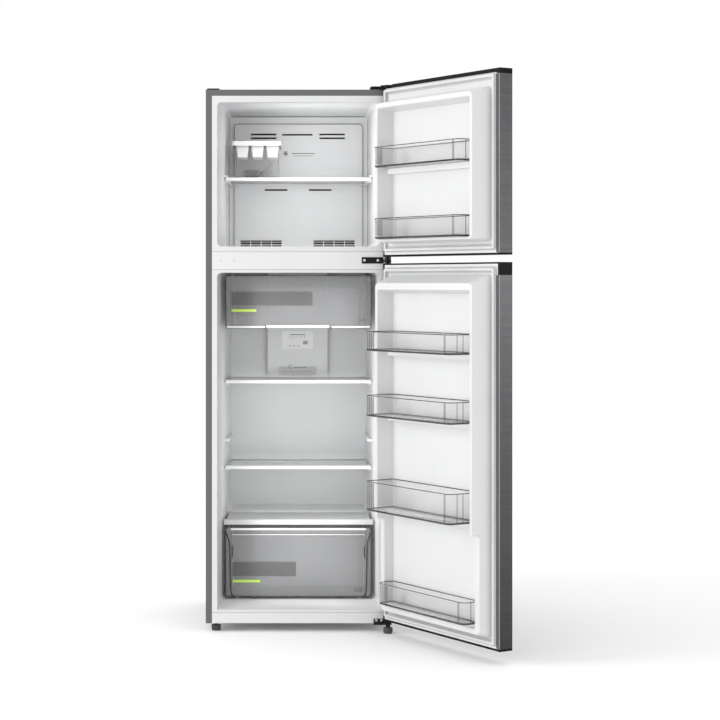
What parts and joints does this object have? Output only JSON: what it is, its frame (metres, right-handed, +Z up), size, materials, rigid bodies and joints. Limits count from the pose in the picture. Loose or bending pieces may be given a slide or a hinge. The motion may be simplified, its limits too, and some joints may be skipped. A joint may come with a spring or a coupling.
{
  "type": "top freezer refrigerator",
  "caption": "Free-standing refrigerator with a freezer compartment on top, both doors open, glass shelves, clear door bins, a chiller drawer, a crisper and an ice maker.",
  "frame": {"origin": "on the floor, under the middle of the cabinet's front", "axes": "+X to the right seen from the front, +Y to the back of the cabinet, +Z up"},
  "size_m": [0.9262, 1.0842, 1.7515],
  "materials": {
    "case_grey": "satin",
    "galvanised_steel": "satin",
    "foam": "matte",
    "white_liner": "satin",
    "white_trim": "satin",
    "black_steel": "satin",
    "black_plastic": "satin",
    "screw_steel": "polished",
    "black_rubber": "matte",
    "coil_metal": "satin",
    "foot_plastic": "matte",
    "grey_plastic": "satin",
    "clear_plastic": "polished",
    "smoky_plastic": "polished",
    "shelf_glass": "polished",
    "brushed_steel": "brushed",
    "white_gasket": "matte"
  },
  "bodies": {
    "cabinet": {"outer_case": "case_grey", "back_panel": "galvanised_steel", "cabinet_foam": "foam", "freezer_liner": "white_liner", "fridge_liner": "white_liner", "mullion_cover": "white_trim", "kick_plate": "white_trim", "base_pan": "galvanised_steel", "top_hinge_bracket": "black_steel", "top_hinge_cover": "black_plastic", "middle_hinge_bracket": "black_steel", "bottom_hinge_bracket": "black_steel", "hinge_screws": "screw_steel", "compressor": "black_steel", "compressor_mounts": "black_rubber", "condenser": "coil_metal", "drain_tray": "black_plastic", "machine_cover": "galvanised_steel", "cord_inlet": "black_rubber", "freezer_rear_cover": "white_liner", "evaporator": "coil_metal", "fan_motor": "black_plastic", "air_duct": "white_trim"},
    "left_foot": {"left_foot": "foot_plastic"},
    "right_foot": {"right_foot": "foot_plastic"},
    "left_roller": {"left_roller": "foot_plastic"},
    "right_roller": {"right_roller": "foot_plastic"},
    "evaporator_fan": {"evaporator_fan": "white_trim"},
    "temperature_slider": {"temperature_slider": "grey_plastic"},
    "damper_flap": {"damper_flap": "white_trim"},
    "freezer_shelf": {"freezer_shelf_glass": "shelf_glass", "freezer_shelf_trim": "white_trim"},
    "ice_bin": {"ice_bin": "clear_plastic", "ice_scoop": "clear_plastic"},
    "ice_tray": {"ice_tray": "white_trim"},
    "chiller_drawer": {"chiller_drawer": "smoky_plastic"},
    "upper_shelf": {"upper_shelf_glass": "shelf_glass", "upper_shelf_trim": "white_trim"},
    "lower_shelf": {"lower_shelf_glass": "shelf_glass", "lower_shelf_trim": "white_trim"},
    "crisper_lid": {"crisper_lid": "white_trim"},
    "crisper_drawer": {"crisper_drawer": "smoky_plastic"},
    "freezer_door": {"freezer_door_skin": "brushed_steel", "freezer_door_liner": "white_liner", "freezer_door_foam": "foam", "freezer_door_gasket": "white_gasket", "freezer_door_top_cap": "black_plastic", "freezer_door_bottom_cap": "black_plastic"},
    "fridge_door": {"fridge_door_skin": "brushed_steel", "fridge_door_liner": "white_liner", "fridge_door_foam": "foam", "fridge_door_gasket": "white_gasket", "fridge_door_top_cap": "black_plastic", "fridge_door_bottom_cap": "black_plastic"},
    "freezer_lower_bin": {"freezer_lower_bin": "clear_plastic"},
    "freezer_upper_bin": {"freezer_upper_bin": "clear_plastic"},
    "fridge_bottom_bin": {"fridge_bottom_bin": "clear_plastic"},
    "fridge_tall_bin": {"fridge_tall_bin": "clear_plastic"},
    "fridge_middle_bin": {"fridge_middle_bin": "clear_plastic"},
    "fridge_top_bin": {"fridge_top_bin": "clear_plastic"}
  },
  "joints": [
    {"name": "freezer_door_hinge", "type": "hinge", "parent": "cabinet", "child": "freezer_door", "pos_m": [0.286, -0.0236, 1.48], "axis": [0, 0, 1], "range_deg": [-122.5, 7.5]},
    {"name": "fridge_door_hinge", "type": "hinge", "parent": "cabinet", "child": "fridge_door", "pos_m": [0.286, -0.0236, 0.61], "axis": [0, 0, 1], "range_deg": [-122.5, 7.5]},
    {"name": "freezer_lower_bin_lift", "type": "slide", "parent": "freezer_door", "child": "freezer_lower_bin", "axis": [0, 0, 1], "range_m": [0, 0.045]},
    {"name": "freezer_upper_bin_lift", "type": "slide", "parent": "freezer_door", "child": "freezer_upper_bin", "axis": [0, 0, 1], "range_m": [0, 0.045]},
    {"name": "fridge_bottom_bin_lift", "type": "slide", "parent": "fridge_door", "child": "fridge_bottom_bin", "axis": [0, 0, 1], "range_m": [0, 0.045]},
    {"name": "fridge_tall_bin_lift", "type": "slide", "parent": "fridge_door", "child": "fridge_tall_bin", "axis": [0, 0, 1], "range_m": [0, 0.045]},
    {"name": "fridge_middle_bin_lift", "type": "slide", "parent": "fridge_door", "child": "fridge_middle_bin", "axis": [0, 0, 1], "range_m": [0, 0.045]},
    {"name": "fridge_top_bin_lift", "type": "slide", "parent": "fridge_door", "child": "fridge_top_bin", "axis": [0, 0, 1], "range_m": [0, 0.045]},
    {"name": "freezer_shelf_slide", "type": "slide", "parent": "cabinet", "child": "freezer_shelf", "axis": [0, -1, 0], "range_m": [0, 0.25]},
    {"name": "ice_bin_slide", "type": "slide", "parent": "freezer_shelf", "child": "ice_bin", "axis": [0, -1, 0], "range_m": [0, 0.12]},
    {"name": "ice_tray_lift", "type": "slide", "parent": "ice_bin", "child": "ice_tray", "axis": [0, 0, 1], "range_m": [0, 0.08]},
    {"name": "chiller_drawer_slide", "type": "slide", "parent": "cabinet", "child": "chiller_drawer", "axis": [0, -1, 0], "range_m": [0, 0.2]},
    {"name": "upper_shelf_slide", "type": "slide", "parent": "cabinet", "child": "upper_shelf", "axis": [0, -1, 0], "range_m": [0, 0.26]},
    {"name": "lower_shelf_slide", "type": "slide", "parent": "cabinet", "child": "lower_shelf", "axis": [0, -1, 0], "range_m": [0, 0.26]},
    {"name": "crisper_lid_slide", "type": "slide", "parent": "cabinet", "child": "crisper_lid", "axis": [0, -1, 0], "range_m": [0, 0.19]},
    {"name": "crisper_drawer_slide", "type": "slide", "parent": "cabinet", "child": "crisper_drawer", "axis": [0, -1, 0], "range_m": [0, 0.19]},
    {"name": "temperature_slider_slide", "type": "slide", "parent": "cabinet", "child": "temperature_slider", "axis": [-1, 0, 0], "range_m": [0, 0.056]},
    {"name": "damper_flap_turn", "type": "hinge", "parent": "cabinet", "child": "damper_flap", "pos_m": [0, 0.464, 0.985], "axis": [1, 0, 0], "range_deg": [0, 72]},
    {"name": "evaporator_fan_spin", "type": "hinge", "parent": "cabinet", "child": "evaporator_fan", "pos_m": [-0.004, 0.47, 1.545], "axis": [0, 1, 0], "continuous": true},
    {"name": "left_foot_turn", "type": "hinge", "parent": "cabinet", "child": "left_foot", "pos_m": [-0.265, 0.03, 0.01], "axis": [0, 0, 1], "continuous": true},
    {"name": "right_foot_turn", "type": "hinge", "parent": "cabinet", "child": "right_foot", "pos_m": [0.286, -0.0236, 0.01], "axis": [0, 0, 1], "continuous": true},
    {"name": "left_roller_spin", "type": "hinge", "parent": "cabinet", "child": "left_roller", "pos_m": [-0.245, 0.515, 0.015], "axis": [1, 0, 0], "continuous": true},
    {"name": "right_roller_spin", "type": "hinge", "parent": "cabinet", "child": "right_roller", "pos_m": [0.245, 0.515, 0.015], "axis": [1, 0, 0], "continuous": true}
  ],
  "couplings": [
    {"joint": "damper_flap_turn", "follows": "temperature_slider_slide", "rad_per_m": 22}
  ]
}
